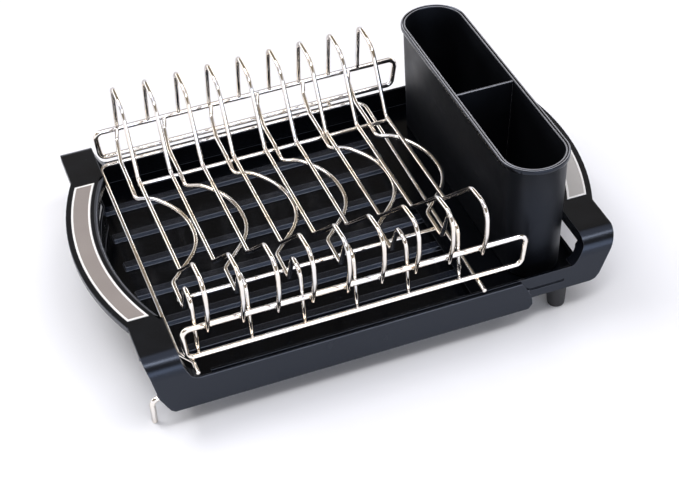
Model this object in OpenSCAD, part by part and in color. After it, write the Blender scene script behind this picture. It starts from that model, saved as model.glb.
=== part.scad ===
/* [Tray] */
// Depth of the tray from its front wall to its back wall
tray_depth = 344; // [336:1:352]
// Height of the main tray's rim above the counter
rim_z = 54; // [52:0.5:55]
// Height of the two handle bands above the counter
handle_z = 80.3; // [78:0.1:84]
// Thickness of the moulded walls
wall_t = 2.6; // [2.4:0.1:2.8]
// Distance from the middle of the tray to the outermost point of either handle
handle_reach = 247.2; // [246:0.2:250]
// Number of drainage ribs on the main tray's floor
rib_count = 7; // [5:1:7]

/* [Wire rack] */
// Diameter of the wires that hold the plates
wire_d = 4.3; // [3.8:0.1:4.5]
// Diameter of the front and back rail wires
rail_d = 5.3; // [5:0.1:5.5]
// Number of plate arches
arch_count = 9; // [5:1:9]
// Distance between neighbouring plate arches
arch_pitch = 32; // [31:0.1:32.5]
// Number of wave wires for bowls
wave_count = 6; // [4:1:6]
// Distance between neighbouring wave wires
wave_pitch = 49.1; // [48.6:0.1:49.4]

/* [Utensil cup] */
// Height of the cup's rim above the counter
cup_top = 159.4; // [140:0.2:170]
// Length of the cup's rim from front to back
cup_length = 303; // [280:1:304]
// Width of the cup's rim
cup_width = 67.6; // [64:0.2:68]

/* [Hidden] */

$fn = 48;

// Colours
satin_black = [0.09, 0.10, 0.12];
taupe = [0.64, 0.60, 0.57];
chrome = [0.86, 0.87, 0.88];
foot_black = [0.06, 0.06, 0.07];

// Tray: the middle lies a little behind the origin, which is under the middle of the whole object
tray_mid = 2;
tray_front = tray_mid - tray_depth / 2;
tray_back = tray_mid + tray_depth / 2;
skirt_z = 22.2;
floor_z = 26;
floor_t = 2.6;
rib_top_z = 31.9;
rib_pitch = 46;
rib_first_y = -151;
rib_base_w = 14;
rib_top_w = 9;
rib_start_x = -198;
main_end_x = -200;
seam_x = 137;

// Bends between the walls and the handle bands
front_bend_r = 18;
back_bend_r = 10;
inner_lip = 12;
outer_lip = 6;
lip_t = 2.5;

// Handle bands: two concentric arcs between short straight ends
band_sagitta = 23.4;
band_half_chord = 115;
band_r = (pow(band_half_chord, 2) + pow(band_sagitta, 2)) / (2 * band_sagitta);
band_w = 30.6;
band_centre_x = handle_reach - band_r;
band_outer_x = handle_reach - band_sagitta;
band_inner_x = 191.4;
bow_under_handle = 3;
inlay_margin_out = 5.4;
inlay_margin_in = 7.2;
inlay_half_length = 105.6;
inlay_sink = 1.2;
inlay_t = 1.8;

// Extension: it nests inside the main tray's walls with a running gap
nest_gap = 0.4;
ext_inset = wall_t + nest_gap;
ext_rim_z = rim_z + 2;
ext_bottom_z = 32.4;
ext_floor_top_z = 35;
arm_start_x = -166;
tongue_start_x = 88;
ext_end_x = 197;
ext_end_top_z = 38.5;
groove_z = 42.6;
groove_h = 3.2;
groove_deep = 1.4;
groove_end_x = 169.8;
key_h = 2.4;
key_deep = 1.2;
key_start_x = 100;

// Feet
main_foot_at = [116, 144];
main_foot_r = [6.5, 8.5];
ext_foot_at = [171, 150];
ext_foot_r = [8, 11];
wire_foot_x = -220;
wire_foot_y = 154;
wire_foot_z = 27;

// Wire rack
wire_r = wire_d / 2;
rail_r = rail_d / 2;
bend_step = 15;
base_z = ext_rim_z + 0.3 + wire_r;
rail_low_z = base_z + wire_r + rail_r;
front_rail_y = -152.4;
front_rail_top_z = 95.4;
front_rail_top_x = [-184.8, 139.8];
front_rail_foot_x = [-183, 135];
back_rail_y = 169.8;
back_rail_top_z = 93.4;
back_rail_top_x = [-186.4, 137.4];
back_rail_foot_x = [-184, 131.4];
rail_corner_r = 7;
weld = 0.2;
touch = rail_r + wire_r - weld;
arch_first_x = -162.2;
wave_first_x = -171.2;
run_z = 86;
sweep_z = 83;
hump_z = 122;
back_bar_y = 84;
back_bar_x = [-164, 98];
front_bar_y = -92;
front_bar_x = [-173.5, 77];
base_left_x = -187.8;
base_right_x = 90.6;
base_back_y = 161.4;
rest_x = [-150, 60];

// Utensil cup
cup_bottom = ext_floor_top_z + 0.3;
cup_centre = [161.6, 1.8];
cup_lip = 2.4;
cup_lip_h = 5;
cup_wall = 2.4;
cup_floor = 3;
cup_taper = 10;
divider_y = -6.6;
divider_t = 2;
divider_drop = 1.2;

// ---------------------------------------------------------------- helpers

function unit(v) = v / norm(v);

// Points of one bend of radius r at corner b, between the straight lines from a and to c
function bend(a, b, c, r) =
    let (
        into = unit(b - a),
        out = unit(c - b),
        turn = acos(max(-1, min(1, into * out))),
        side = unit(out - into * cos(turn)),
        start = b - into * r * tan(turn / 2),
        steps = max(2, ceil(turn / bend_step))
    )
    [for (k = [0:steps])
        start + into * r * sin(turn * k / steps) + side * r * (1 - cos(turn * k / steps))];

// Centre line of a bent wire: corners with one bend radius for each inner corner
function bent(corners, radii) = concat(
    [corners[0]],
    [for (i = [1:len(corners) - 2])
        each bend(corners[i - 1], corners[i], corners[i + 1], radii[i - 1])],
    [corners[len(corners) - 1]]
);

// Centre line of a closed bent wire
function bent_loop(corners, r) =
    let (n = len(corners))
    [for (i = [0:n - 1])
        each bend(corners[(i + n - 1) % n], corners[i], corners[(i + 1) % n], r)];

function heading(path, i, closed) =
    let (
        n = len(path),
        before = closed ? path[(i + n - 1) % n] : path[max(0, i - 1)],
        after = closed ? path[(i + 1) % n] : path[min(n - 1, i + 1)]
    )
    unit(after - before);

// Sweeps a round section along a path whose headings are never parallel to ref
module wire(path, r, ref, sides = 8, closed = false) {
    n = len(path);
    rings = [for (i = [0:n - 1])
        let (
            along = heading(path, i, closed),
            u = unit(cross(ref, along)),
            v = cross(along, u)
        )
        each [for (s = [0:sides - 1]) path[i] + r * (u * cos(360 * s / sides) + v * sin(360 * s / sides))]];
    spans = closed ? n : n - 1;
    skin = [for (i = [0:spans - 1], s = [0:sides - 1])
        let (
            j = (i + 1) % n,
            t = (s + 1) % sides
        )
        each [[i * sides + s, i * sides + t, j * sides + s], [i * sides + t, j * sides + t, j * sides + s]]];
    caps = closed ? [] : [
        [for (s = [sides - 1:-1:0]) s],
        [for (s = [0:sides - 1]) (n - 1) * sides + s]
    ];
    polyhedron(points = rings, faces = [for (f = concat(skin, caps)) [for (q = [len(f) - 1:-1:0]) f[q]]]);
}

// Extrudes a front-view outline (x, z) backwards between two depths
module extrude_y(from, to) {
    translate([0, to, 0])
        rotate([90, 0, 0])
            linear_extrude(to - from)
                children();
}

// Extrudes a side-view outline (y, z) to the right between two stations
module extrude_x(from, to) {
    translate([from, 0, 0])
        rotate([90, 0, 90])
            linear_extrude(to - from)
                children();
}

// What rounding with radius r takes off a corner at the origin that points up and right
module corner_waste(r) {
    difference() {
        translate([-r, -r])
            square(r + 1);
        translate([-r, -r])
            circle(r);
    }
}

// ---------------------------------------------------------------- trays

// Side view of a tray: upright walls, round bends and a flat handle band on top
module hoop_outline(inset, depth_in) {
    lo = tray_front + inset + depth_in;
    hi = tray_back - inset - depth_in;
    top = handle_z - depth_in;
    front_r = max(2, front_bend_r - depth_in);
    back_r = max(2, back_bend_r - depth_in);
    difference() {
        translate([lo, 0])
            square([hi - lo, top]);
        translate([hi, top])
            corner_waste(back_r);
        translate([lo, top])
            mirror([1, 0])
                corner_waste(front_r);
    }
}

module hoop_shell(inset, depth_in, from, to) {
    extrude_x(from, to)
        difference() {
            hoop_outline(inset, 0);
            hoop_outline(inset, depth_in);
        }
}

// Plan of the right handle band, drawn between two insets from its outer and inner edges
module band_plan(in_outer, in_inner, half_length) {
    translate([band_centre_x, tray_mid])
        intersection() {
            difference() {
                circle(band_r - in_outer, $fn = 180);
                circle(band_r - band_w + in_inner, $fn = 180);
            }
            translate([0, -half_length])
                square([band_r + 1, 2 * half_length]);
        }
}

module band_end_plan(in_outer, in_inner) {
    translate([band_inner_x + in_inner, tray_front])
        square([band_outer_x - band_inner_x - in_inner - in_outer, tray_depth]);
}

// The handle band from above: straight strips at both ends and the bowed part between them
module handle_plan(in_outer, in_inner) {
    band_plan(in_outer, in_inner, band_half_chord - 1);
    difference() {
        band_end_plan(in_outer, in_inner);
        translate([0, tray_mid - band_half_chord + 1])
            square([300, 2 * (band_half_chord - 1)]);
    }
}

// A tray's walls, bends and right-hand handle band within the front view given as child 0,
// with lips along the handle's two edges
module tray_skin(inset, from) {
    intersection() {
        hoop_shell(inset, wall_t, from, handle_reach + 1);
        handle_window(0, 0)
            children(0);
    }
    intersection() {
        hoop_shell(inset, inner_lip, band_inner_x - 20, handle_reach + 1);
        difference() {
            handle_window(0, 0)
                children(0);
            handle_window(0, lip_t)
                children(0);
            cube([2 * handle_reach, 3 * tray_depth, 2 * (rim_z - 1)], center = true);
        }
    }
    intersection() {
        hoop_shell(inset, outer_lip, band_inner_x - 20, handle_reach + 1);
        difference() {
            handle_window(0, 0)
                children(0);
            handle_window(lip_t, 0)
                children(0);
            cube([2 * handle_reach, 3 * tray_depth, 2 * (rim_z - 1)], center = true);
        }
    }
}

// The front view between the walls and their bends, and the handle's plan between the bends
module handle_window(in_outer, in_inner) {
    for (span = [[tray_front - 1, tray_front + front_bend_r], [tray_back - back_bend_r, tray_back + 1]])
        extrude_y(span[0], span[1])
            intersection() {
                children(0);
                translate([in_inner, 0])
                    children(0);
                translate([-in_outer, 0])
                    children(0);
            }
    translate([0, 0, handle_z - inner_lip - 1])
        linear_extrude(inner_lip + 2)
            intersection() {
                handle_plan(in_outer, in_inner);
                translate([0, tray_front + front_bend_r])
                    square([300, tray_depth - front_bend_r - back_bend_r]);
            }
}

// Front view of the main tray, drawn with its handle to the right
module main_front_view() {
    polygon([
        [-seam_x, 27],
        [-seam_x + 4, skirt_z],
        [203, skirt_z],
        [207, 25],
        [215.4, 41.4],
        [220.2, 67.3],
        [band_outer_x, handle_z],
        [band_inner_x, handle_z],
        [189.7, 69.8],
        [184.4, 58],
        [181, 55],
        [177, rim_z],
        [-seam_x + 9.7, rim_z],
        [-seam_x + 0.8, 37.3]
    ]);
}

// Front view of the extension, drawn with its handle to the right
module extension_front_view() {
    polygon([
        [arm_start_x, ext_bottom_z + 0.6],
        [seam_x - 12, ext_bottom_z + 0.6],
        [seam_x - 11.4, ext_bottom_z],
        [197, ext_bottom_z],
        [201.5, 34],
        [205.5, 39],
        [band_outer_x, handle_z],
        [band_inner_x, handle_z],
        [190.6, 73],
        [181.6, 58.6],
        [179.5, ext_rim_z + 0.6],
        [177, ext_rim_z],
        [arm_start_x, ext_rim_z]
    ]);
}

module inlay_plan() {
    band_plan(inlay_margin_out, inlay_margin_in, inlay_half_length);
}

module inlay_pocket() {
    translate([0, 0, handle_z - inlay_sink])
        linear_extrude(inlay_sink + 1)
            inlay_plan();
}

// One drainage rib: a low ridge with sloping sides that runs from left to right
module rib(y, from, to, base_z, top_z) {
    extrude_x(from, to)
        polygon([
            [y - rib_base_w / 2, base_z],
            [y + rib_base_w / 2, base_z],
            [y + rib_top_w / 2, top_z],
            [y - rib_top_w / 2, top_z]
        ]);
}

module main_tray_shell() {
    difference() {
        mirror([1, 0, 0])
            tray_skin(0, -seam_x)
                main_front_view();
        mirror([1, 0, 0])
            inlay_pocket();
    }
}

// Plan of the main tray's inside: its left end bows out to just under the handle's inner edge
module main_inside_plan(inset) {
    translate([main_end_x + inset, tray_front + wall_t / 2])
        square([seam_x - main_end_x - 2 - inset, tray_depth - wall_t]);
    translate([-band_centre_x, tray_mid])
        intersection() {
            circle(band_r - band_w + bow_under_handle - inset, $fn = 180);
            translate([-band_r, -band_half_chord])
                square([band_r, 2 * band_half_chord]);
        }
}

module main_floor() {
    translate([0, 0, floor_z])
        linear_extrude(floor_t)
            main_inside_plan(0);
    translate([0, 0, skirt_z])
        linear_extrude(rim_z - skirt_z)
            difference() {
                main_inside_plan(0);
                main_inside_plan(wall_t);
            }
    for (i = [0:rib_count - 1])
        rib(rib_first_y + i * rib_pitch, rib_start_x, seam_x - 4, floor_z + floor_t / 2, rib_top_z);
}

// Keys on the inside of both walls that run in the extension's grooves
module slide_keys() {
    for (y = [tray_front + wall_t / 2, tray_back - wall_t - key_deep])
        translate([key_start_x, y, groove_z - key_h / 2])
            cube([seam_x - 2 - key_start_x, wall_t / 2 + key_deep, key_h]);
}

module main_tray() {
    color(satin_black)
        union() {
            main_tray_shell();
            main_floor();
            slide_keys();
        }
}

module extension_shell() {
    difference() {
        tray_skin(ext_inset, arm_start_x)
            extension_front_view();
        inlay_pocket();
        for (y = [tray_front + ext_inset - 1, tray_back - ext_inset - groove_deep])
            translate([arm_start_x - 1, y, groove_z - groove_h / 2])
                cube([groove_end_x - arm_start_x + 1, groove_deep + 1, groove_h]);
    }
}

module extension_floor() {
    inside = tray_depth - 2 * ext_inset - wall_t;
    translate([tongue_start_x, tray_front + ext_inset + wall_t / 2, ext_bottom_z])
        cube([ext_end_x - tongue_start_x, inside, ext_floor_top_z - ext_bottom_z]);
    translate([ext_end_x - wall_t, tray_front + ext_inset + wall_t / 2, ext_bottom_z])
        cube([wall_t, inside, ext_end_top_z - ext_bottom_z]);
}

module extension_tray() {
    color(satin_black)
        union() {
            extension_shell();
            extension_floor();
        }
}

module handle_inlay() {
    color(taupe)
        translate([0, 0, handle_z - inlay_sink])
            linear_extrude(inlay_t)
                inlay_plan();
}

// ---------------------------------------------------------------- feet

// A round tapered foot with a rounded sole, standing at a distance in front of the tray's middle
module round_foot(at, radii, top) {
    sole_round = 2;
    color(foot_black)
        translate([at[0], tray_mid + at[1], 0])
            rotate_extrude()
                polygon([
                    [0, 0],
                    [radii[0] - sole_round, 0],
                    [radii[0] - 0.3 * sole_round, 0.3 * sole_round],
                    [radii[0], sole_round],
                    [radii[1], top],
                    [0, top]
                ]);
}

// A bent wire foot: it comes out of the tray's end wall and turns down to the counter
module wire_foot(side) {
    y = tray_mid + side * wire_foot_y;
    color(chrome)
        wire(bent([
            [main_end_x + 1, y, wire_foot_z],
            [wire_foot_x, y, wire_foot_z],
            [wire_foot_x, y, 0]
        ], [7]), rail_r, [0, 1, 0], 12);
}

// ---------------------------------------------------------------- wire rack

// A rail is an upright frame of one wire; its top is a little longer than its foot
module rail(y, top_z, top_x, foot_x) {
    color(chrome)
        wire(bent_loop([
            [top_x[0], y, top_z],
            [top_x[1], y, top_z],
            [foot_x[1], y, rail_low_z],
            [foot_x[0], y, rail_low_z]
        ], rail_corner_r), rail_r, [0, 1, 0], 10, true);
}

// Side view of a plate arch from its foot on the back rail to its tip on the front rail
ARCH = [
    [back_rail_y, back_rail_top_z + 1.2],
    [156.5, 153.5],
    [119, 151],
    [86, run_z],
    [-68, run_z + 5],
    [-134, 149.5],
    [-170, 153],
    [-168, 122],
    [front_rail_y - touch, front_rail_top_z - 2.6]
];
ARCH_BENDS = [14, 24, 6, 5, 16, 14, 40];

module plate_arch(i) {
    x = arch_first_x + (i - 1) * arch_pitch;
    color(chrome)
        wire(bent([for (p = ARCH) [x, p[0], p[1]]], ARCH_BENDS), wire_r, [1, 0, 0]);
}

// A wave wire: it sweeps sideways over the floor, runs forward and climbs over a low hump
// behind the front rail; x is measured from where the wire runs straight
WAVE = [
    [8, back_rail_y - touch, back_rail_top_z + 2.1],
    [5, 158, 87],
    [0, 122, run_z],
    [0, 86, run_z],
    [0, 62, sweep_z],
    [15, 56.5, sweep_z],
    [37.5, 24, sweep_z],
    [37.5, -30, sweep_z],
    [0, -72, sweep_z],
    [0, -109, sweep_z],
    [0, -127, hump_z],
    [0, front_rail_y + touch, hump_z + 0.5],
    [0, front_rail_y + touch, rail_low_z - 1]
];
WAVE_BENDS = [6, 20, 20, 6, 24, 80, 60, 9, 6, 11, 9];

module bowl_wave(i) {
    x = wave_first_x + (i - 1) * wave_pitch;
    color(chrome)
        wire(bent([for (p = WAVE) [x + p[0], p[1], p[2]]], WAVE_BENDS), wire_r, [1, 0, 0]);
}

// The base loop rests on the tray's front wall with its two open ends
module base_loop() {
    end_y = tray_front + 1.5;
    color(chrome)
        wire(bent([
            [-178, end_y, base_z],
            [-178, -154, base_z],
            [base_left_x, -138, base_z],
            [base_left_x, base_back_y, base_z],
            [base_right_x + 3, base_back_y, base_z],
            [base_right_x, -138, base_z],
            [base_right_x, end_y, base_z]
        ], [8, 8, 10, 16.8, 8]), wire_r, [0, 0, 1]);
}

// Two short wires carry the back of the rack on the back wall
module back_rests() {
    color(chrome)
        for (x = rest_x)
            translate([x, base_back_y, base_z])
                rotate([-90, 0, 0])
                    cylinder(r = wire_r, h = tray_back - 1.5 - base_back_y, $fn = 24);
}

// A straight bar from left to right under the wires that it carries
module cross_bar(y, wires_z, ends_x) {
    color(chrome)
        translate([ends_x[0], y, wires_z - wire_d + weld])
            rotate([0, 90, 0])
                cylinder(r = wire_r, h = ends_x[1] - ends_x[0], $fn = 24);
}

// ---------------------------------------------------------------- utensil cup

// Plan of a cup section: a stadium between a left and a right side, inset from the rim's length
module stadium(left, right, inset) {
    r = (right - left) / 2;
    middle = (left + right) / 2;
    reach = cup_length / 2 - inset - r;
    translate([middle, cup_centre[1]])
        for (s = [-1, 1])
            translate([0, s * reach])
                circle(r, $fn = 64);
    translate([left, cup_centre[1] - reach])
        square([2 * r, 2 * reach]);
}

module slab(z, h, left, right, inset) {
    translate([0, 0, z])
        linear_extrude(h)
            stadium(left, right, inset);
}

cup_left = cup_centre[0] - cup_width / 2 + cup_lip;
cup_right = cup_centre[0] + cup_width / 2 - cup_lip;

// The cup's solid form: its left side is upright and its right side leans out towards the rim
module cup_form(inset, bottom, top) {
    skin = 0.1;
    hull() {
        slab(bottom, skin, cup_left + inset, cup_right - cup_taper - inset, cup_lip + inset + 1);
        slab(top - skin, skin, cup_left + inset, cup_right - inset, cup_lip + inset);
    }
}

module cup_body() {
    color(satin_black)
        difference() {
            union() {
                cup_form(0, cup_bottom, cup_top - 1);
                slab(cup_top - cup_lip_h, cup_lip_h, cup_left - cup_lip, cup_right + cup_lip, 0);
            }
            cup_form(cup_wall, cup_bottom + cup_floor, cup_top + 1);
        }
}

module cup_divider() {
    color(satin_black)
        intersection() {
            cup_form(cup_wall, cup_bottom + cup_floor, cup_top + 1);
            translate([0, divider_y - divider_t / 2, 0])
                cube([handle_reach, divider_t, cup_top - divider_drop]);
        }
}

// ---------------------------------------------------------------- nodes

main_tray();
mirror([1, 0, 0]) handle_inlay();  // left_handle_inlay
wire_foot(-1);  // front_left_wire_foot
wire_foot(1);  // back_left_wire_foot
round_foot([main_foot_at[0], -main_foot_at[1]], main_foot_r, floor_z);  // main_front_foot
round_foot(main_foot_at, main_foot_r, floor_z);  // main_back_foot
extension_tray();
handle_inlay();  // right_handle_inlay
round_foot([ext_foot_at[0], -ext_foot_at[1]], ext_foot_r, ext_bottom_z);  // extension_front_foot
round_foot(ext_foot_at, ext_foot_r, ext_bottom_z);  // extension_back_foot
cup_body();
cup_divider();
rail(front_rail_y, front_rail_top_z, front_rail_top_x, front_rail_foot_x);  // front_rail
rail(back_rail_y, back_rail_top_z, back_rail_top_x, back_rail_foot_x);  // back_rail
base_loop();
back_rests();
cross_bar(back_bar_y, run_z, back_bar_x);  // back_cross_bar
cross_bar(front_bar_y, sweep_z, front_bar_x);  // front_cross_bar
for (i = [1:arch_count])
    plate_arch(i);
for (i = [1:wave_count])
    bowl_wave(i);
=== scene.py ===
"""Looks of an expandable dish rack: a chrome wire rack in a black two-part drip tray, with a utensil cup."""
import math

import bmesh
import bpy
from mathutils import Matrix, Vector


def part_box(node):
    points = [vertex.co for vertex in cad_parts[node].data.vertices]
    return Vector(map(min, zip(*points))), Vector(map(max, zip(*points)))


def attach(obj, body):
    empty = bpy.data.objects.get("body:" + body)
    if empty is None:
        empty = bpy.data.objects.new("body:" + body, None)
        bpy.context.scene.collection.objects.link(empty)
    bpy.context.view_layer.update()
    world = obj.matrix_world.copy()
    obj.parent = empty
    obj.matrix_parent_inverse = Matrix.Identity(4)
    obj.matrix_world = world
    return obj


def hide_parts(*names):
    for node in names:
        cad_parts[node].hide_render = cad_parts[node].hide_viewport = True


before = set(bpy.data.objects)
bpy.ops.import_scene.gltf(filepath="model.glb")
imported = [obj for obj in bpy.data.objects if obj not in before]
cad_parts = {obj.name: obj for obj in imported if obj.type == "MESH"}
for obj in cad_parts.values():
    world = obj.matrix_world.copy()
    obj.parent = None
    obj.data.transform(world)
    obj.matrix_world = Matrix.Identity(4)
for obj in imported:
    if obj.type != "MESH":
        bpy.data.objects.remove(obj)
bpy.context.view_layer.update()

MM = 0.001
TRAY_BODY = "tray"
EXTENSION_BODY = "extension"
CUP_BODY = "cup"
RACK_BODY = "rack"

# Wires, in millimetres: radii, the bends of rails and feet, and how deep a wire sinks into its neighbour
WIRE_RADIUS = 2.15
RAIL_RADIUS = 2.65
RAIL_CORNER = 7
WIRE_FOOT_BEND = 7
WELD_SINK = 0.2
TOUCH = RAIL_RADIUS + WIRE_RADIUS - WELD_SINK
WIRE_SIDES = 18
RAIL_SIDES = 22
BEND_STEP = math.radians(6)
DOME_ANGLES = [math.radians(a) for a in (72, 48, 24)]
DOME_SHARE = 0.5

# Weld beads, in millimetres: radius and half height
BEAD_ON_FRONT_RAIL = (2.0, 1.8)
BEAD_ON_BACK_RAIL = (2.6, 1.4)
BEAD_BEHIND_RAIL = (1.9, 2.2)
BEAD_ON_BAR = (2.3, 1.3)

# Heights of the rack's wires, in millimetres: the straight runs, the waves' sweeps and the waves' humps
RUN_Z = 86
SWEEP_Z = 83
HUMP_Z = 122

# Moulded trays, in millimetres: how far their edges are rounded, the top of the floor's ribs, and how
# far off its place a point may lie
MAIN_TRAY_EDGE = 0.6
EXTENSION_EDGE = 0.2
HANDLE_INNER_EDGE = 3.6
SHARP_ANGLE = math.radians(40)
RIB_TOP_Z = 31.9
SLACK = 0.3

# Handle bands, in millimetres: circle arcs about centres on the tray's middle line
BAND_RADIUS = 294.28
BAND_WIDTH = 30.6
BAND_HALF_CHORD = 115

# Handle inlays, in millimetres: the bare band beside them and their pale border
INLAY_MARGIN_OUT = 5.4
INLAY_MARGIN_IN = 7.2
INLAY_BORDER = 1.9
INLAY_STEPS = 40

# Rubber feet, in millimetres
SOLE_SHARE = 0.75
SOLE_ROUNDING = 2.2
COLLAR_HEIGHT = 4

# Utensil cup, in millimetres
CUP_LIP = 2.4
CUP_LIP_HEIGHT = 5
CUP_WALL = 2.4
CUP_FLOOR = 3
CUP_TAPER = 10
CUP_END_POINTS = 40
DIVIDER_EDGE = 0.7

# Places in a piece's list of materials, after the skin at 0
EDGES = 1
FLOOR = 2
RIBS = 3
RIM = 1
RIDGES = 2


# ------------------------------------------------------------------ meshes


def new_piece(name, verts, faces, materials, smooth=True):
    """A mesh object from points in millimetres."""
    mesh = bpy.data.meshes.new(name)
    mesh.from_pydata([Vector(v) * MM for v in verts], [], faces)
    mesh.validate()
    for material in materials:
        mesh.materials.append(material)
    if smooth:
        mesh.shade_smooth()
    piece = bpy.data.objects.new(name, mesh)
    bpy.context.scene.collection.objects.link(piece)
    return piece


def settle(piece, body, slot, *nodes):
    """Declares what a piece rides on and the CAD nodes that it stands for; slot, its finish, is not used."""
    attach(piece, body)
    if nodes:
        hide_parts(*nodes)


def box_mm(node):
    low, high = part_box(node)
    return low / MM, high / MM


def family(prefix):
    """The names of the CAD nodes that start alike, from left to right."""
    return sorted(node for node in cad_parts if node.startswith(prefix))


def hoops(rings, around, closed=False):
    """Faces between neighbouring rings of points; where it is closed, the last ring joins the first."""
    faces = []
    for ring in range(rings if closed else rings - 1):
        here = ring * around
        there = (ring + 1) % rings * around
        for s in range(around):
            t = (s + 1) % around
            faces.append((here + s, here + t, there + t, there + s))
    return faces


def end_caps(rings, around):
    """The faces that close the first and the last ring."""
    last = (rings - 1) * around
    return [tuple(reversed(range(around))), tuple(range(last, last + around))]


def bend(before, corner, after, radius):
    """Points of a round bend at a corner of a wire."""
    way_in = (corner - before).normalized()
    way_out = (after - corner).normalized()
    turn = way_in.angle(way_out)
    side = (way_out - way_in * math.cos(turn)).normalized()
    start = corner - way_in * radius * math.tan(turn / 2)
    steps = max(2, math.ceil(turn / BEND_STEP))
    angles = [turn * k / steps for k in range(steps + 1)]
    return [start + way_in * radius * math.sin(a) + side * radius * (1 - math.cos(a)) for a in angles]


def bent(corners, radii):
    """Centre line of an open wire with one bend radius for each inner corner."""
    points = [Vector(c) for c in corners]
    path = [points[0]]
    for i, radius in enumerate(radii):
        path += bend(points[i], points[i + 1], points[i + 2], radius)
    return path + [points[-1]]


def bent_loop(corners, radius):
    """Centre line of a closed wire."""
    points = [Vector(c) for c in corners]
    count = len(points)
    path = []
    for i in range(count):
        path += bend(points[i - 1], points[i], points[(i + 1) % count], radius)
    return path


def path_headings(path, closed):
    """The direction of a path at each of its points."""
    count = len(path)
    headings = []
    for i in range(count):
        before = path[i - 1] if closed or i else path[0]
        after = path[(i + 1) % count] if closed or i < count - 1 else path[-1]
        headings.append((after - before).normalized())
    return headings


def tube(path, radius, closed=False, sides=WIRE_SIDES):
    """Vertices and faces of a round tube along a path, with domed ends where it is open."""
    headings = path_headings(path, closed)
    dome_angles = [] if closed else DOME_ANGLES
    across = headings[0].orthogonal().normalized()
    verts = []

    def add_ring(centre, heading, ring_radius):
        up = heading.cross(across)
        for s in range(sides):
            angle = 2 * math.pi * s / sides
            verts.append(centre + (across * math.cos(angle) + up * math.sin(angle)) * ring_radius)

    def add_dome_ring(end, heading, outwards, angle):
        centre = end + heading * outwards * radius * DOME_SHARE * math.sin(angle)
        add_ring(centre, heading, radius * math.cos(angle))

    for angle in dome_angles:
        add_dome_ring(path[0], headings[0], -1, angle)
    for i, (centre, heading) in enumerate(zip(path, headings)):
        if i:
            across = headings[i - 1].rotation_difference(heading) @ across
        add_ring(centre, heading, radius)
    for angle in reversed(dome_angles):
        add_dome_ring(path[-1], headings[-1], 1, angle)
    rings = len(path) + 2 * len(dome_angles)
    faces = hoops(rings, sides, closed)
    if not closed:
        faces += end_caps(rings, sides)
    return verts, faces


def merged(parts):
    """One list of vertices and faces out of several."""
    verts = []
    faces = []
    for part_verts, part_faces in parts:
        first = len(verts)
        verts += part_verts
        faces += [tuple(first + i for i in face) for face in part_faces]
    return verts, faces


def lathe(centre, profile, sides=48):
    """Vertices and faces of a solid turned about a vertical axis, from (radius, height) points."""
    centre_x, centre_y = centre
    verts = []
    for radius, z in profile:
        for s in range(sides):
            a = 2 * math.pi * s / sides
            verts.append((centre_x + radius * math.cos(a), centre_y + radius * math.sin(a), z))
    return verts, hoops(len(profile), sides) + end_caps(len(profile), sides)


def softened(node, name, materials, edge, wide=0, is_wide=None):
    """A copy of a moulded CAD part; its sharp edges are rounded, and the rounding has its own material."""
    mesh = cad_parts[node].data.copy()
    mesh.materials.clear()
    for material in materials:
        mesh.materials.append(material)
    width = max(edge, wide)
    work = bmesh.new()
    work.from_mesh(mesh)
    bmesh.ops.remove_doubles(work, verts=work.verts, dist=0.01 * MM)
    weights = work.edges.layers.float.new("bevel_weight_edge")
    for line in work.edges:
        if line.calc_face_angle(0) > SHARP_ANGLE:
            widely = is_wide and is_wide(*(v.co / MM for v in line.verts))
            line[weights] = 1 if widely else edge / width
    work.to_mesh(mesh)
    work.free()
    mesh.shade_smooth()
    piece = bpy.data.objects.new(name, mesh)
    bpy.context.scene.collection.objects.link(piece)
    rounding = piece.modifiers.new("rounding", "BEVEL")
    rounding.width = width * MM
    rounding.segments = 4
    rounding.limit_method = "WEIGHT"
    rounding.miter_outer = "MITER_ARC"
    rounding.use_clamp_overlap = False
    # The rounding takes the material at place EDGES: a lighter colour there is a painted highlight along the
    # edges.
    rounding.material = EDGES
    flattening = piece.modifiers.new("flattening", "WEIGHTED_NORMAL")
    flattening.weight = 80
    return piece


# ------------------------------------------------------------------ materials


def node_material(name):
    """A new material, its node tree, its shader and the object's own coordinates."""
    material = bpy.data.materials.new(name)
    material.use_nodes = True
    tree = material.node_tree
    shader = tree.nodes["Principled BSDF"]
    place = tree.nodes.new("ShaderNodeTexCoord")
    return material, tree, shader, place.outputs["Object"]


def noise(tree, place, scale, detail=4.0, roughness=0.5):
    texture = tree.nodes.new("ShaderNodeTexNoise")
    texture.inputs["Scale"].default_value = scale
    texture.inputs["Detail"].default_value = detail
    texture.inputs["Roughness"].default_value = roughness
    tree.links.new(place, texture.inputs["Vector"])
    return texture.outputs["Fac"]


def ramp(tree, value, stops):
    """A colour ramp; each stop is a position and a colour."""
    node = tree.nodes.new("ShaderNodeValToRGB")
    elements = node.color_ramp.elements
    for element, (position, colour) in zip(elements, (stops[0], stops[-1])):
        element.position = position
        element.color = (*colour, 1)
    for position, colour in stops[1:-1]:
        element = elements.new(position)
        element.color = (*colour, 1)
    tree.links.new(value, node.inputs["Fac"])
    return node.outputs["Color"]


def spread(tree, value, low, high):
    """Maps a noise value onto a range."""
    node = tree.nodes.new("ShaderNodeMapRange")
    node.inputs["From Min"].default_value = 0.3
    node.inputs["From Max"].default_value = 0.7
    node.inputs["To Min"].default_value = low
    node.inputs["To Max"].default_value = high
    tree.links.new(value, node.inputs["Value"])
    return node.outputs["Result"]


def bump(tree, height, strength, distance, below=None):
    """Relief from a height; it lies on top of the relief below, if there is one."""
    node = tree.nodes.new("ShaderNodeBump")
    node.inputs["Strength"].default_value = strength
    node.inputs["Distance"].default_value = distance
    tree.links.new(height, node.inputs["Height"])
    if below:
        tree.links.new(below, node.inputs["Normal"])
    return node.outputs["Normal"]


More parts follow.
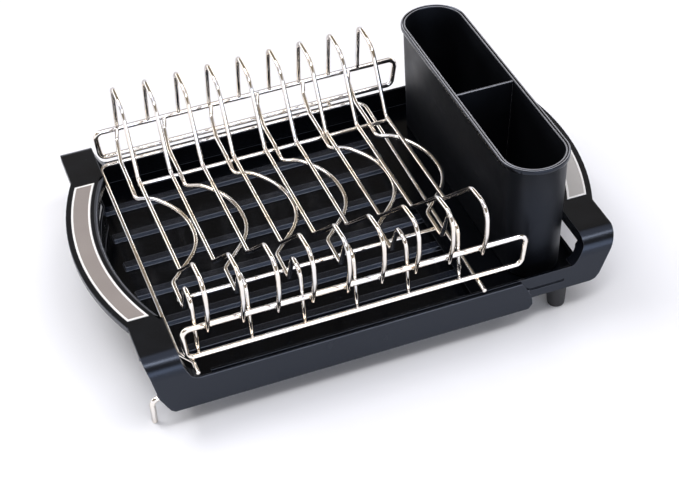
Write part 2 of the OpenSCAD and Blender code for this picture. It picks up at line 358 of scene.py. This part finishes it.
def moulded_plastic(name, dark, light, roughness, grain=0.08, gleam=0.5):
    """Moulded plastic with bluish reflections: clouded colour, uneven gloss and a fine mould grain."""
    material, tree, shader, place = node_material(name)
    shader.inputs["Specular IOR Level"].default_value = gleam
    shader.inputs["Specular Tint"].default_value = (0.68, 0.78, 1.0, 1)
    clouds = noise(tree, place, 14, 3)
    tree.links.new(ramp(tree, clouds, [(0.3, dark), (0.7, light)]), shader.inputs["Base Color"])
    gloss = noise(tree, place, 38, 5, 0.6)
    tree.links.new(spread(tree, gloss, *roughness), shader.inputs["Roughness"])
    coarse = bump(tree, noise(tree, place, 900, 2), grain, 0.0002)
    fine = bump(tree, noise(tree, place, 2600, 2), grain, 0.0001, coarse)
    tree.links.new(fine, shader.inputs["Normal"])
    return material


def chrome(name, cool, warm, roughness):
    """Chrome plate, darker at a glancing angle: cool and warm patches, uneven polish, drawing marks."""
    material, tree, shader, place = node_material(name)
    shader.inputs["Metallic"].default_value = 1
    shader.inputs["Specular Tint"].default_value = (0.48, 0.46, 0.46, 1)
    patches = noise(tree, place, 30, 3)
    tree.links.new(ramp(tree, patches, [(0.35, cool), (0.65, warm)]), shader.inputs["Base Color"])
    polish = noise(tree, place, 120, 6, 0.65)
    tree.links.new(spread(tree, polish, *roughness), shader.inputs["Roughness"])
    tree.links.new(bump(tree, noise(tree, place, 700, 3), 0.05, 0.0001), shader.inputs["Normal"])
    return material


def grip_plastic(name, dark, light):
    """The matte inlay in a handle: a soft-touch skin with a fine, even grain."""
    material, tree, shader, place = node_material(name)
    clouds = noise(tree, place, 22, 4)
    tree.links.new(ramp(tree, clouds, [(0.3, dark), (0.7, light)]), shader.inputs["Base Color"])
    tree.links.new(spread(tree, noise(tree, place, 60, 4), 0.48, 0.62), shader.inputs["Roughness"])
    tree.links.new(bump(tree, noise(tree, place, 1400, 3), 0.2, 0.0002), shader.inputs["Normal"])
    return material


def rubber(name):
    """Matte black rubber with a little dust on it."""
    material, tree, shader, place = node_material(name)
    dust = noise(tree, place, 160, 5, 0.7)
    colours = [(0.3, (0.010, 0.010, 0.012)), (0.75, (0.024, 0.024, 0.026))]
    tree.links.new(ramp(tree, dust, colours), shader.inputs["Base Color"])
    tree.links.new(spread(tree, dust, 0.6, 0.8), shader.inputs["Roughness"])
    tree.links.new(bump(tree, noise(tree, place, 1800, 3), 0.25, 0.0002), shader.inputs["Normal"])
    return material


def counter_top(name):
    """The plain pale surface that the rack stands on."""
    material, tree, shader, place = node_material(name)
    clouds = noise(tree, place, 3, 3)
    colours = [(0.3, (0.88, 0.88, 0.90)), (0.7, (0.90, 0.90, 0.92))]
    tree.links.new(ramp(tree, clouds, colours), shader.inputs["Base Color"])
    shader.inputs["Roughness"].default_value = 0.6
    return material


# Tray plastic: the satin skin, a painted highlight on its rounded edges, painted shade on its glossier floor
# and a painted bluish reflection on its rib tops
TRAY_BLACK = moulded_plastic(
    "tray_black", (0.0016, 0.0018, 0.0026), (0.0030, 0.0033, 0.0045), (0.20, 0.28)
)
# Rounded edges: a lighter colour that is a painted highlight
PAINTED_EDGE_HIGHLIGHT = moulded_plastic(
    "edge_painted_highlight", (0.030, 0.031, 0.036), (0.050, 0.052, 0.060), (0.16, 0.24), grain=0.03
)
# The floor: glossier, with a darker colour that is painted shade under the rack
FLOOR_PAINTED_SHADE = moulded_plastic(
    "tray_floor_painted_shade", (0.0008, 0.0010, 0.0016), (0.0016, 0.0019, 0.0028), (0.14, 0.20),
    grain=0.05, gleam=0.14,
)
# Rib tops: a bluish colour that is a painted reflection of the room in front
PAINTED_RIB_REFLECTION = moulded_plastic(
    "rib_painted_reflection", (0.0018, 0.0022, 0.0038), (0.0060, 0.0080, 0.0140), (0.16, 0.24), grain=0.03
)
TRAY_MATERIALS = [TRAY_BLACK, PAINTED_EDGE_HIGHLIGHT, FLOOR_PAINTED_SHADE, PAINTED_RIB_REFLECTION]

# Cup plastic: the rough skin, the smooth rim and a pale colour on its ridges, painted highlight lines
CUP_BLACK = moulded_plastic(
    "cup_black", (0.0010, 0.0010, 0.0014), (0.0020, 0.0020, 0.0026), (0.42, 0.50),
    grain=0.04, gleam=0.36,
)
RIM_BLACK = moulded_plastic(
    "cup_rim_black", (0.0014, 0.0014, 0.0017), (0.0026, 0.0026, 0.0030), (0.12, 0.17), grain=0.03
)
PAINTED_RIM_HIGHLIGHT = moulded_plastic(
    "rim_painted_highlight", (0.20, 0.20, 0.21), (0.28, 0.28, 0.30), (0.16, 0.24), grain=0.03
)
CUP_MATERIALS = [CUP_BLACK, RIM_BLACK, PAINTED_RIM_HIGHLIGHT]

CHROME = chrome("chrome_plate", (0.88, 0.87, 0.87), (0.93, 0.85, 0.74), (0.04, 0.09))
TAUPE = grip_plastic("grip_taupe", (0.25, 0.216, 0.20), (0.28, 0.245, 0.226))
GREY = grip_plastic("grip_grey", (0.43, 0.41, 0.39), (0.48, 0.46, 0.44))
GRIP_BORDER = grip_plastic("grip_border", (0.84, 0.82, 0.79), (0.90, 0.88, 0.86))
RUBBER = rubber("foot_rubber")


# ------------------------------------------------------------------ camera and light


def make_camera():
    """The camera looks down at the rack's front from a little to the left, leaning slightly."""
    azimuth = math.radians(16.55)
    elevation = math.radians(39.10)
    lean = math.radians(4.77)
    target = Vector((-0.0071, -0.0531, 0.060))
    distance = 1.5967
    level = Vector((math.sin(azimuth), math.cos(azimuth), 0))
    ahead = level * math.cos(elevation) - Vector((0, 0, 1)) * math.sin(elevation)
    camera = bpy.data.objects.new("camera", bpy.data.cameras.new("camera"))
    camera.data.lens = 90.48
    camera.data.sensor_width = 36
    camera.data.clip_end = 60
    turn = ahead.to_track_quat("-Z", "Y").to_matrix().to_4x4()
    camera.matrix_world = turn
    camera.rotation_euler = turn.to_euler()
    camera.rotation_euler.rotate_axis("Z", -lean)
    camera.location = target - ahead * distance
    bpy.context.scene.collection.objects.link(camera)
    bpy.context.scene.camera = camera


# Brightness of the room by the height of the direction: white walls, a dim warm band and a white ceiling
SKY_BANDS = [
    (0.00, (1.10, 1.12, 1.22)),
    (0.28, (1.10, 1.12, 1.20)),
    (0.43, (0.28, 0.24, 0.19)),
    (0.76, (0.22, 0.19, 0.145)),
    (0.90, (1.10, 1.12, 1.25)),
]


def make_sky():
    """A white room: its dim band is what flat black faces mirror towards the camera."""
    world = bpy.data.worlds.new("studio")
    bpy.context.scene.world = world
    world.use_nodes = True
    tree = world.node_tree
    direction = tree.nodes.new("ShaderNodeTexCoord")
    split = tree.nodes.new("ShaderNodeSeparateXYZ")
    tree.links.new(direction.outputs["Generated"], split.inputs["Vector"])
    tree.links.new(ramp(tree, split.outputs["Z"], SKY_BANDS), tree.nodes["Background"].inputs["Color"])


def make_softbox(name, place, size, radiance, colour=(1, 1, 1)):
    """A rectangular light that faces the rack and looks equally bright all over."""
    light = bpy.data.lights.new(name, "AREA")
    light.shape = "RECTANGLE"
    light.size, light.size_y = size
    light.energy = radiance * math.pi * size[0] * size[1]
    light.color = colour
    lamp = bpy.data.objects.new(name, light)
    lamp.location = place
    rack_middle = Vector((0, 0, 0.05))
    lamp.rotation_euler = (rack_middle - Vector(place)).to_track_quat("-Z", "Y").to_euler()
    bpy.context.scene.collection.objects.link(lamp)


def make_lights():
    """A key from above, a strip for front edges, two low strips behind for the wires and a blue fill."""
    make_softbox("key", (-1.6, 1.3, 3.0), (1.8, 1.5), 5.4)
    make_softbox("edge_light", (0.2, -1.1, 2.6), (2.4, 0.5), 8.0)
    make_softbox("left_strip", (-2.4, 3.4, 1.05), (2.2, 0.6), 2.6)
    make_softbox("right_strip", (2.7, 2.9, 0.7), (2.2, 0.6), 4.0)
    make_softbox("front_fill", (0.5, -3.4, 0.9), (3.6, 1.6), 2.0, (0.72, 0.82, 1.0))


def make_counter():
    reach = 9000
    corners = [(-reach, -reach, 0), (reach, -reach, 0), (reach, reach, 0), (-reach, reach, 0)]
    floor = new_piece("counter", corners, [(0, 1, 2, 3)], [counter_top("counter_top")])


def make_studio():
    make_sky()
    make_lights()
    make_counter()
    bpy.context.scene.view_settings.view_transform = "Standard"


# ------------------------------------------------------------------ trays and handles


def make_tray(node, name, side, edge, body):
    """A tray's moulding. The bowed inner edge of its handle is rounded more than its other edges, and its
    low faces that look up are the floor and the ribs."""
    low, high = box_mm(node)
    middle = (low + high) / 2
    reach = high.x if side > 0 else -low.x
    centre_x = side * (reach - BAND_RADIUS)

    def on_inner_edge(*ends):
        return all(
            abs(end.z - high.z) < SLACK
            and abs(end.y - middle.y) < BAND_HALF_CHORD
            and abs(math.hypot(end.x - centre_x, end.y - middle.y) - BAND_RADIUS + BAND_WIDTH) < SLACK
            for end in ends
        )

    tray = softened(node, name, TRAY_MATERIALS, edge, HANDLE_INNER_EDGE, on_inner_edge)
    # Low faces that look up: the floor takes a darker colour as painted shade under the rack, the rib tops a
    # bluish one as a painted reflection.
    for polygon in tray.data.polygons:
        z = polygon.center.z / MM
        if polygon.normal.z > 0.9 and z < middle.z:
            polygon.material_index = RIBS if abs(z - RIB_TOP_Z) < SLACK else FLOOR
    settle(tray, body, "black_plastic", node)


def make_trays():
    make_tray("main_tray", "main_tray_moulding", -1, MAIN_TRAY_EDGE, TRAY_BODY)
    make_tray("extension_tray", "extension_moulding", 1, EXTENSION_EDGE, EXTENSION_BODY)


def inlay_outline(centre_x, half_length, inset):
    """Plan of an inlay on the right: its outer arc from front to back, then its inner arc back again."""
    outer_radius = BAND_RADIUS - INLAY_MARGIN_OUT
    inner_radius = BAND_RADIUS - BAND_WIDTH + INLAY_MARGIN_IN
    reach = half_length - inset
    ys = [reach * (2 * k / INLAY_STEPS - 1) for k in range(INLAY_STEPS + 1)]
    outer = [(centre_x + math.sqrt((outer_radius - inset) ** 2 - y * y), y) for y in ys]
    inner = [(centre_x + math.sqrt((inner_radius + inset) ** 2 - y * y), y) for y in reversed(ys)]
    return outer + inner


def strip_faces(first, around, upwards):
    """Faces across an inlay's outline, between its outer and its inner arc."""
    faces = []
    for k in range(INLAY_STEPS):
        face = (first + k, first + k + 1, first + around - 2 - k, first + around - 1 - k)
        faces.append(face if upwards else (face[1], face[0], face[3], face[2]))
    return faces


def make_inlay(node, name, side, skin, body, slot):
    """A bowed inlay: a raised pale border round a matte field."""
    low, high = box_mm(node)
    outer_x = max(abs(low.x), abs(high.x))
    middle_y = (low.y + high.y) / 2
    half_length = (high.y - low.y) / 2
    centre_x = outer_x - BAND_RADIUS + INLAY_MARGIN_OUT
    profile = [
        (0, low.z), (0, high.z - 0.35), (0.12, high.z - 0.1), (0.35, high.z),
        (INLAY_BORDER - 0.25, high.z), (INLAY_BORDER, high.z - 0.1), (INLAY_BORDER + 0.1, high.z - 0.4),
    ]
    verts = []
    for inset, z in profile:
        verts += [(side * x, middle_y + y, z) for x, y in inlay_outline(centre_x, half_length, inset)]
    around = 2 * (INLAY_STEPS + 1)
    border = hoops(len(profile), around)
    faces = border + strip_faces((len(profile) - 1) * around, around, True) + strip_faces(0, around, False)
    if side < 0:
        faces = [tuple(reversed(f)) for f in faces]
    piece = new_piece(name, verts, faces, [GRIP_BORDER, skin], smooth=False)
    for polygon in piece.data.polygons:
        polygon.material_index = 0 if polygon.index < len(border) else 1
    settle(piece, body, slot, node)


def make_inlays():
    make_inlay("left_handle_inlay", "left_grip", -1, TAUPE, TRAY_BODY, "taupe_grip")
    make_inlay("right_handle_inlay", "right_grip", 1, GREY, EXTENSION_BODY, "grey_grip")


def make_rubber_foot(node, body):
    """A tapered foot with a rounded sole and a collar under the tray."""
    low, high = box_mm(node)
    top_radius = (high.x - low.x) / 2
    flat_radius = top_radius * SOLE_SHARE - SOLE_ROUNDING
    profile = [(flat_radius, 0)]
    for degrees in (18, 36, 54, 72, 90):
        a = math.radians(degrees)
        profile.append((flat_radius + SOLE_ROUNDING * math.sin(a), SOLE_ROUNDING * (1 - math.cos(a))))
    collar_z = high.z - COLLAR_HEIGHT
    profile += [(top_radius * 0.96, collar_z), (top_radius, collar_z + 0.6), (top_radius, high.z)]
    centre = (low + high) / 2
    piece = new_piece(node + "_rubber", *lathe(centre.xy, profile), [RUBBER])
    settle(piece, body, "black_rubber", node)


def make_rubber_feet():
    for tray, body in (("main", TRAY_BODY), ("extension", EXTENSION_BODY)):
        for place in ("front", "back"):
            make_rubber_foot(f"{tray}_{place}_foot", body)


# ------------------------------------------------------------------ wires


def chrome_piece(name, shape, body, *nodes):
    """A piece of chromed wire, from its vertices and faces."""
    settle(new_piece(name, *shape, [CHROME]), body, "chrome_wire", *nodes)


def make_wire_feet():
    for node in ("front_left_wire_foot", "back_left_wire_foot"):
        low, high = box_mm(node)
        y = (low.y + high.y) / 2
        top_z = high.z - RAIL_RADIUS
        down_x = low.x + RAIL_RADIUS
        corners = [(high.x, y, top_z), (down_x, y, top_z), (down_x, y, RAIL_RADIUS / 2)]
        chrome_piece(node + "_wire", tube(bent(corners, [WIRE_FOOT_BEND]), RAIL_RADIUS), TRAY_BODY, node)


def rail_frame(node):
    """The middle of a rail wire: its depth, its top and foot heights."""
    low, high = box_mm(node)
    return (low.y + high.y) / 2, high.z - RAIL_RADIUS, low.z + RAIL_RADIUS


def make_rails():
    """Closed loops whose foot is narrower than their top, by a little at each end."""
    for node, left_in, right_in in (("front_rail", 1.8, 4.8), ("back_rail", 2.4, 6.0)):
        low, high = box_mm(node)
        y, top_z, foot_z = rail_frame(node)
        left = low.x + RAIL_RADIUS
        right = high.x - RAIL_RADIUS
        corners = [
            (left, y, top_z),
            (right, y, top_z),
            (right - right_in, y, foot_z),
            (left + left_in, y, foot_z),
        ]
        loop = tube(bent_loop(corners, RAIL_CORNER), RAIL_RADIUS, closed=True, sides=RAIL_SIDES)
        chrome_piece(node + "_wire", loop, RACK_BODY, node)


def make_arches():
    """Plate wires: a tall loop at the back, a straight run and a tall loop at the front."""
    front_y, front_top, _ = rail_frame("front_rail")
    back_y, back_top, _ = rail_frame("back_rail")
    route = [
        (back_y, back_top + 1.2),
        (156.5, 153.5),
        (119, 151),
        (86, RUN_Z),
        (-68, RUN_Z + 5),
        (-134, 149.5),
        (-170, 153),
        (-168, 122),
        (front_y - TOUCH, front_top - 2.6),
    ]
    bends = [14, 24, 6, 5, 16, 14, 40]
    for node in family("plate_arch"):
        low, high = box_mm(node)
        x = (low.x + high.x) / 2
        path = bent([(x, y, z) for y, z in route], bends)
        chrome_piece(node + "_wire", tube(path, WIRE_RADIUS), RACK_BODY, node)


def make_waves():
    """Bowl wires: they sweep sideways under the arches and end in a hump over the front rail."""
    front_y, _, front_foot = rail_frame("front_rail")
    back_y, back_top, _ = rail_frame("back_rail")
    route = [
        (8, back_y - TOUCH, back_top + 2.1),
        (5, 158, 87),
        (0, 122, RUN_Z),
        (0, 86, RUN_Z),
        (0, 62, SWEEP_Z),
        (15, 56.5, SWEEP_Z),
        (37.5, 24, SWEEP_Z),
        (37.5, -30, SWEEP_Z),
        (0, -72, SWEEP_Z),
        (0, -109, SWEEP_Z),
        (0, -127, HUMP_Z),
        (0, front_y + TOUCH, HUMP_Z + 0.5),
        (0, front_y + TOUCH, front_foot - 1),
    ]
    bends = [6, 20, 20, 6, 24, 80, 60, 9, 6, 11, 9]
    for node in family("bowl_wave"):
        low, _ = box_mm(node)
        start_x = low.x + WIRE_RADIUS
        path = bent([(start_x + x, y, z) for x, y, z in route], bends)
        chrome_piece(node + "_wire", tube(path, WIRE_RADIUS), RACK_BODY, node)


def make_base():
    """The loop under the rails, and the two short wires that rest on the back wall."""
    low, high = box_mm("base_loop")
    z = (low.z + high.z) / 2
    left = low.x + WIRE_RADIUS
    left_front = left + 9.8
    right_back = high.x - WIRE_RADIUS
    right = right_back - 3
    back = high.y - WIRE_RADIUS
    jog_front_y = -154
    jog_back_y = -138
    corners = [
        (left_front, low.y, z),
        (left_front, jog_front_y, z),
        (left, jog_back_y, z),
        (left, back, z),
        (right_back, back, z),
        (right, jog_back_y, z),
        (right, low.y, z),
    ]
    path = bent(corners, [8, 8, 10, 16.8, 8])
    chrome_piece("base_loop_wire", tube(path, WIRE_RADIUS), RACK_BODY, "base_loop")
    low, high = box_mm("back_rests")
    rests = []
    for x in (low.x + WIRE_RADIUS, high.x - WIRE_RADIUS):
        rests.append(tube([Vector((x, low.y, z)), Vector((x, high.y - 1, z))], WIRE_RADIUS))
    chrome_piece("back_rest_wires", merged(rests), RACK_BODY, "back_rests")


def make_bars():
    for node in ("back_cross_bar", "front_cross_bar"):
        low, high = box_mm(node)
        middle = (low + high) / 2
        ends = [Vector((x, middle.y, middle.z)) for x in (low.x + 1, high.x - 1)]
        chrome_piece(node + "_wire", tube(ends, WIRE_RADIUS), RACK_BODY, node)


def wire_places(prefix, share):
    """Where the wires of a family stand from left to right, at a share of their width."""
    places = []
    for node in family(prefix):
        low, high = box_mm(node)
        places.append(low.x + WIRE_RADIUS + share * (high.x - low.x - 2 * WIRE_RADIUS))
    return places


def weld(x, y, z, radius, height):
    """A small flattened bead of weld."""
    angles = [math.radians(a) for a in (-75, -45, -15, 15, 45, 75)]
    return lathe((x, y), [(radius * math.cos(a), z + height * math.sin(a)) for a in angles], 14)


def make_welds():
    """Beads where the wires end on the rails and where they cross the bars."""
    front_y, front_top, front_foot = rail_frame("front_rail")
    back_y, back_top, _ = rail_frame("back_rail")
    arches = wire_places("plate_arch", 0.5)
    waves = wire_places("bowl_wave", 0)
    beads = []
    for x in arches:
        beads.append(weld(x, front_y - RAIL_RADIUS, front_top - 2, *BEAD_ON_FRONT_RAIL))
        beads.append(weld(x, back_y, back_top + RAIL_RADIUS, *BEAD_ON_BACK_RAIL))
    for x in waves:
        beads.append(weld(x, front_y + RAIL_RADIUS, front_top, *BEAD_BEHIND_RAIL))
        beads.append(weld(x, front_y + RAIL_RADIUS, front_foot, *BEAD_BEHIND_RAIL))
    for node, crossing in (("back_cross_bar", arches + waves), ("front_cross_bar", waves)):
        low, high = box_mm(node)
        for x in crossing:
            if low.x < x < high.x:
                beads.append(weld(x, (low.y + high.y) / 2, high.z, *BEAD_ON_BAR))
    chrome_piece("weld_beads", merged(beads), RACK_BODY)


# ------------------------------------------------------------------ utensil cup


def cup_ring(low, high, inset, z, lean):
    """A stadium at height z; inset is measured inwards from the wall, lean is its share of the taper."""
    left = low.x + CUP_LIP + inset
    right = high.x - CUP_LIP - inset - CUP_TAPER * lean
    radius = (right - left) / 2
    middle_x = (left + right) / 2
    middle_y = (low.y + high.y) / 2
    reach = (high.y - low.y) / 2 - CUP_LIP - inset - lean - radius
    points = []
    for end, start_angle in ((1, 0), (-1, math.pi)):
        for k in range(CUP_END_POINTS + 1):
            a = start_angle + math.pi * k / CUP_END_POINTS
            x = middle_x + radius * math.cos(a)
            y = middle_y + end * reach + radius * math.sin(a)
            points.append((x, y, z))
    return points


def make_cup():
    """A long cup with round ends, one slanting side, a rim with two ridges and a hollow inside."""
    low, high = box_mm("cup_body")
    bottom, top = low.z, high.z
    lip_low = top - CUP_LIP_HEIGHT
    outside = [
        (2.2, bottom), (0.8, bottom + 0.5), (0.2, bottom + 1.4), (0, bottom + 3),
        (0, bottom + 40), (0, bottom + 80), (0, lip_low - 0.3),
    ]
    outer_ridge = [
        (-0.25, lip_low), (-CUP_LIP + 0.5, lip_low + 0.1), (-CUP_LIP + 0.1, lip_low + 0.5),
        (-CUP_LIP, lip_low + 1.1), (-CUP_LIP, top - 1.5), (-CUP_LIP + 0.2, top - 0.8),
        (-CUP_LIP + 0.6, top - 0.2), (-CUP_LIP + 1.1, top), (-CUP_LIP + 1.6, top - 0.2),
        (-CUP_LIP + 2.1, top - 0.7),
    ]
    inner_ridge = [
        (CUP_WALL - 2.1, top - 0.9), (CUP_WALL - 1.7, top - 0.6), (CUP_WALL - 1.1, top - 0.3),
        (CUP_WALL - 0.5, top - 0.5), (CUP_WALL - 0.1, top - 1.0),
    ]
    inside = [
        (CUP_WALL, top - 1.7), (CUP_WALL, bottom + 80), (CUP_WALL, bottom + 40),
        (CUP_WALL, bottom + CUP_FLOOR + 3), (CUP_WALL + 0.8, bottom + CUP_FLOOR + 0.8),
        (CUP_WALL + 3, bottom + CUP_FLOOR),
    ]
    profile = outside + outer_ridge + inner_ridge + inside
    verts = []
    for inset, z in profile:
        lean = (top - min(z, lip_low)) / (top - bottom)
        verts += cup_ring(low, high, inset, z, lean)
    around = 2 * (CUP_END_POINTS + 1)
    faces = hoops(len(profile), around) + end_caps(len(profile), around)
    piece = new_piece("utensil_cup", verts, faces, CUP_MATERIALS)
    rim_start = len(outside)
    rim_end = len(profile) - len(inside)
    # The faces on and beside each crest take a pale colour: painted highlight lines along the rim.
    crests = [profile.index(max(ridge, key=lambda point: point[1])) for ridge in (outer_ridge, inner_ridge)]
    for level in range(rim_start, rim_end):
        on_crest = level in crests or level + 1 in crests
        for polygon in piece.data.polygons[level * around:(level + 1) * around]:
            polygon.material_index = RIDGES if on_crest else RIM
    settle(piece, CUP_BODY, "black_plastic", "cup_body")


def make_divider():
    # Its rounded edges take the rim's pale colour: a painted highlight along the divider's top.
    divider = softened("cup_divider", "utensil_cup_divider", [CUP_BLACK, PAINTED_RIM_HIGHLIGHT], DIVIDER_EDGE)
    settle(divider, CUP_BODY, "black_plastic", "cup_divider")


make_camera()
make_studio()
make_trays()
make_inlays()
make_rubber_feet()
make_wire_feet()
make_rails()
make_arches()
make_waves()
make_base()
make_bars()
make_welds()
make_cup()
make_divider()
